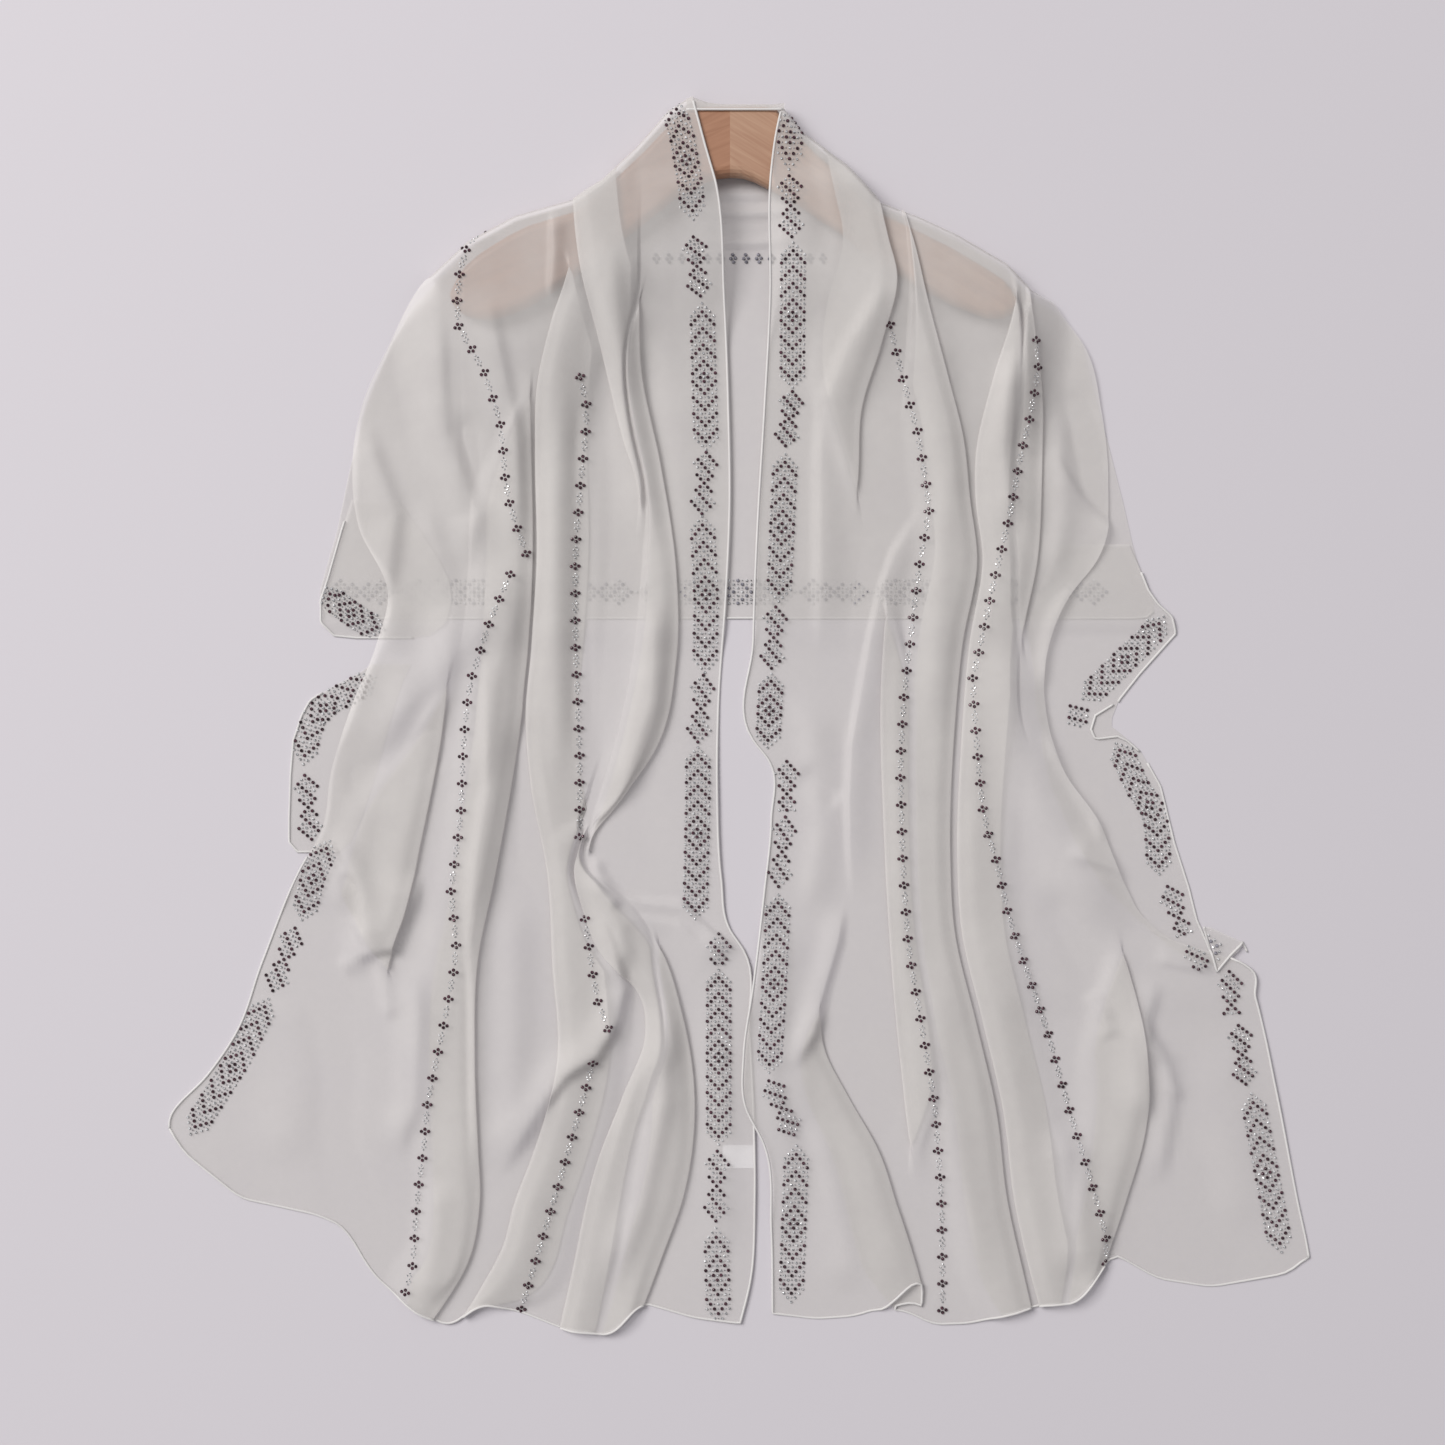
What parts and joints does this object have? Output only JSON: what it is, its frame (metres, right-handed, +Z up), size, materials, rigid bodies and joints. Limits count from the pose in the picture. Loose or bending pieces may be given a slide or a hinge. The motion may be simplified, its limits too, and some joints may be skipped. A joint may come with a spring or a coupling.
{
  "type": "shawl laid on a wooden hanger",
  "caption": "Sheer rectangular shawl with studded borders, draped over a flat two-tone wooden hanger and laid out flat with both fronts hanging in pleats.",
  "frame": {"origin": "middle of the outline seen from above, on the surface that the shawl lies on", "axes": "+X towards the right-hand front as seen from above, +Y along the cloth towards the neck and hanger, +Z up from the surface"},
  "size_m": [0.8188, 0.8875, 0.0259],
  "materials": {
    "cloth": "sheer chiffon",
    "dark_wood": "satin",
    "light_wood": "satin",
    "label": "woven tape"
  },
  "bodies": {
    "root": {"back_panel": "cloth", "left_front": "cloth", "right_front": "cloth", "left_flap_upper": "cloth", "left_flap_middle": "cloth", "right_flap_upper": "cloth", "right_flap_lower": "cloth", "hanger_left": "dark_wood", "hanger_right": "light_wood", "care_label": "label"}
  },
  "joints": []
}
